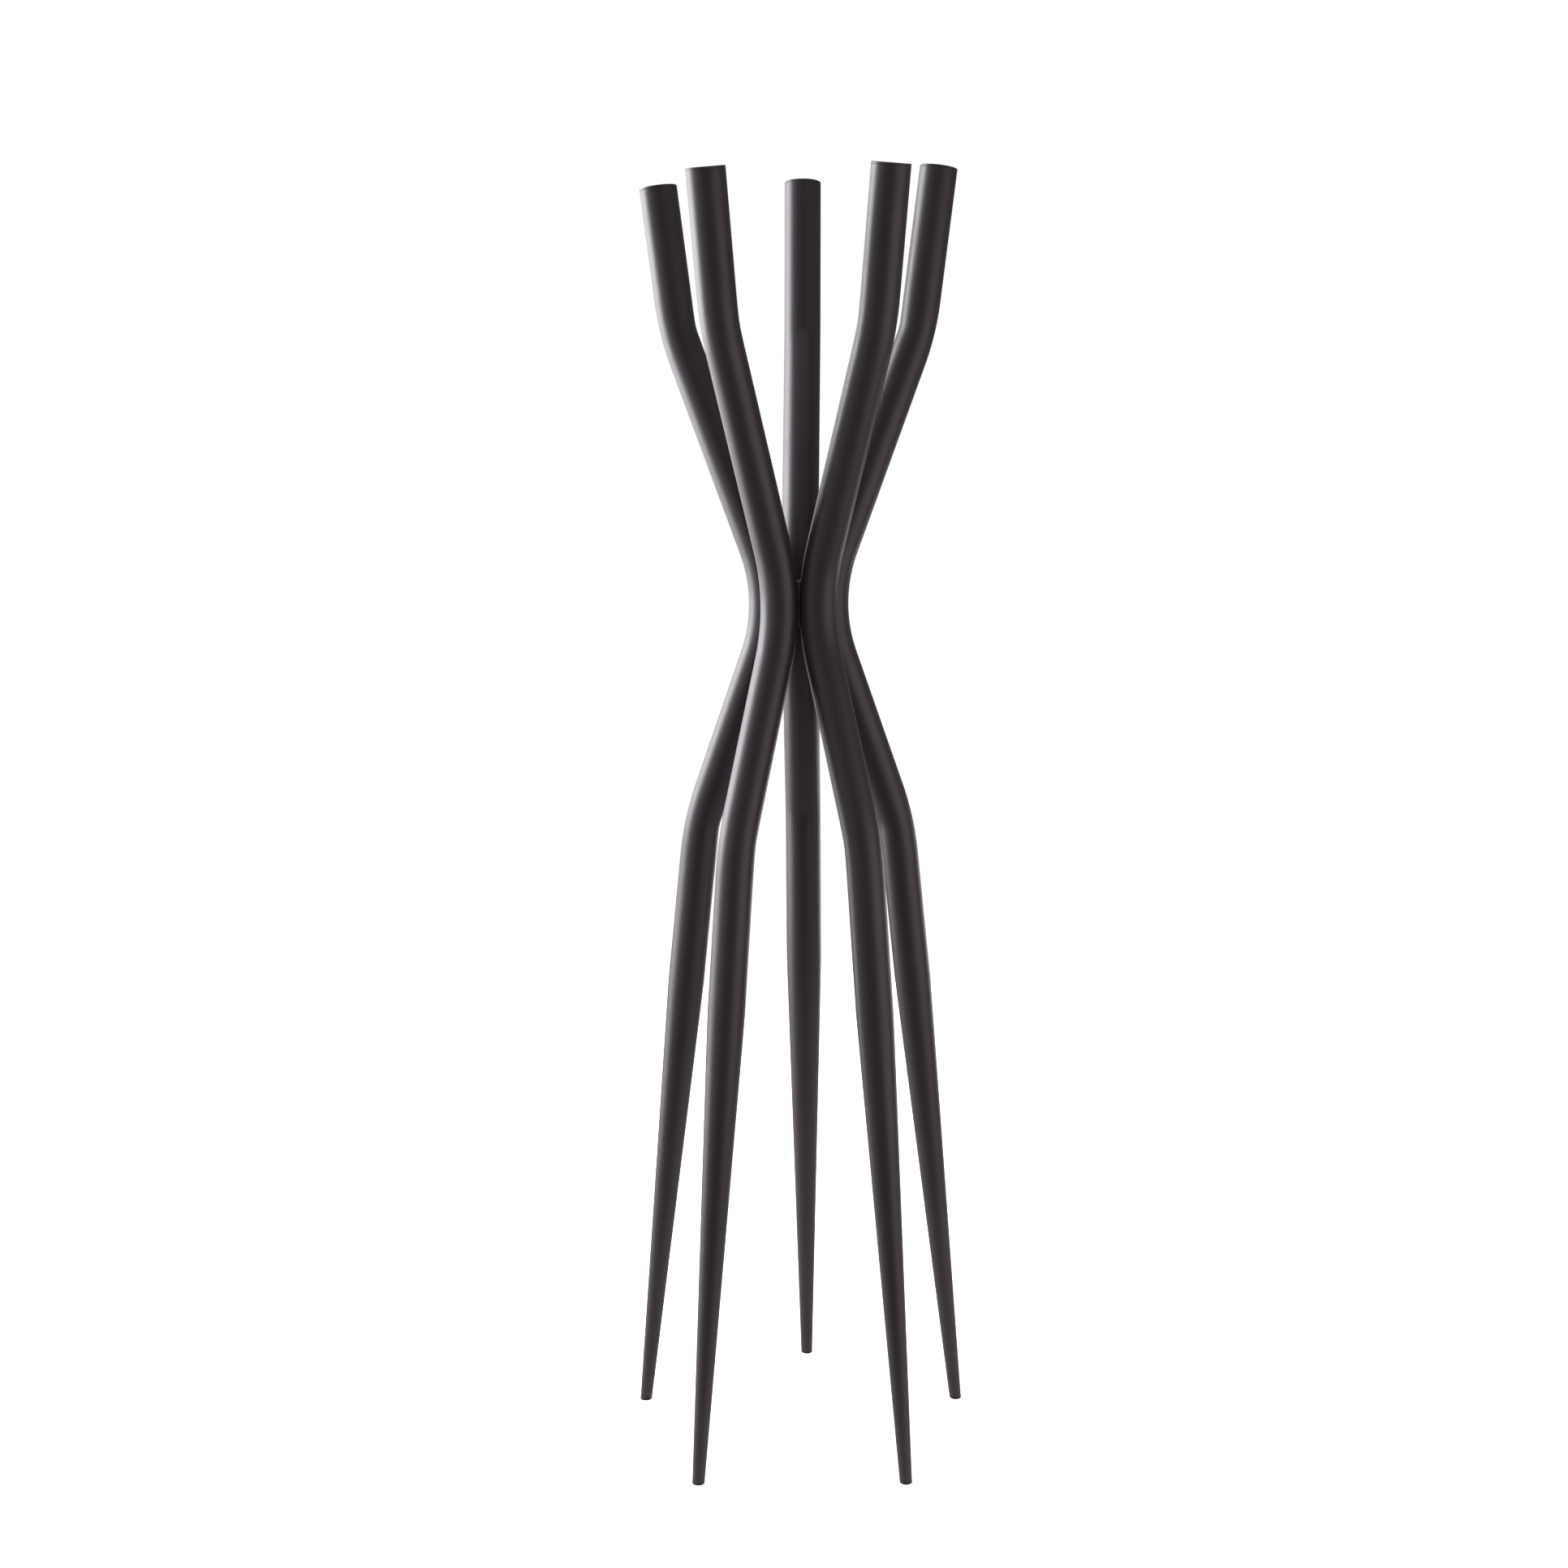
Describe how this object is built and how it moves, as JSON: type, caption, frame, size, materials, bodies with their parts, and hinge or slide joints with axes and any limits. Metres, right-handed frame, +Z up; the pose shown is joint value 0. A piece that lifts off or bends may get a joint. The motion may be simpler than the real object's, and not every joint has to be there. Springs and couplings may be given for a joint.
{
  "type": "coat stand",
  "caption": "Free-standing coat stand of bent tubes that taper to the feet, meet in a narrow waist round a hidden hub and spread into upright, flat-capped arms.",
  "frame": {"origin": "on the floor, on the stand's vertical axis, which is the hub's centre line", "axes": "+Z up; -Y towards the front pair of legs; the rear leg stands on +Y; +X to the right seen from the front"},
  "size_m": [0.4744, 0.4517, 1.7673],
  "materials": {
    "powder_coat": "satin, fine-textured charcoal brown powder coat on steel tube",
    "glide_nylon": "matt black moulded nylon",
    "hub_casting": "as-cast, lightly blasted",
    "zinc_plate": "bright zinc plate on steel"
  },
  "bodies": {
    "root": {"hub": "hub_casting", "front_left_leg": "powder_coat", "front_right_leg": "powder_coat", "right_leg": "powder_coat", "rear_leg": "powder_coat", "left_leg": "powder_coat", "front_left_top_cap": "powder_coat", "front_right_top_cap": "powder_coat", "right_top_cap": "powder_coat", "rear_top_cap": "powder_coat", "left_top_cap": "powder_coat", "front_left_foot_glide": "glide_nylon", "front_right_foot_glide": "glide_nylon", "right_foot_glide": "glide_nylon", "rear_foot_glide": "glide_nylon", "left_foot_glide": "glide_nylon", "front_left_upper_bush": "zinc_plate", "front_left_lower_bush": "zinc_plate", "front_right_upper_bush": "zinc_plate", "front_right_lower_bush": "zinc_plate", "right_upper_bush": "zinc_plate", "right_lower_bush": "zinc_plate", "rear_upper_bush": "zinc_plate", "rear_lower_bush": "zinc_plate", "left_upper_bush": "zinc_plate", "left_lower_bush": "zinc_plate", "front_left_upper_stud": "zinc_plate", "front_left_lower_stud": "zinc_plate", "front_right_upper_stud": "zinc_plate", "front_right_lower_stud": "zinc_plate", "right_upper_stud": "zinc_plate", "right_lower_stud": "zinc_plate", "rear_upper_stud": "zinc_plate", "rear_lower_stud": "zinc_plate", "left_upper_stud": "zinc_plate", "left_lower_stud": "zinc_plate", "front_left_upper_grub_screw": "zinc_plate", "front_left_lower_grub_screw": "zinc_plate", "front_right_upper_grub_screw": "zinc_plate", "front_right_lower_grub_screw": "zinc_plate", "right_upper_grub_screw": "zinc_plate", "right_lower_grub_screw": "zinc_plate", "rear_upper_grub_screw": "zinc_plate", "rear_lower_grub_screw": "zinc_plate", "left_upper_grub_screw": "zinc_plate", "left_lower_grub_screw": "zinc_plate"}
  },
  "joints": []
}
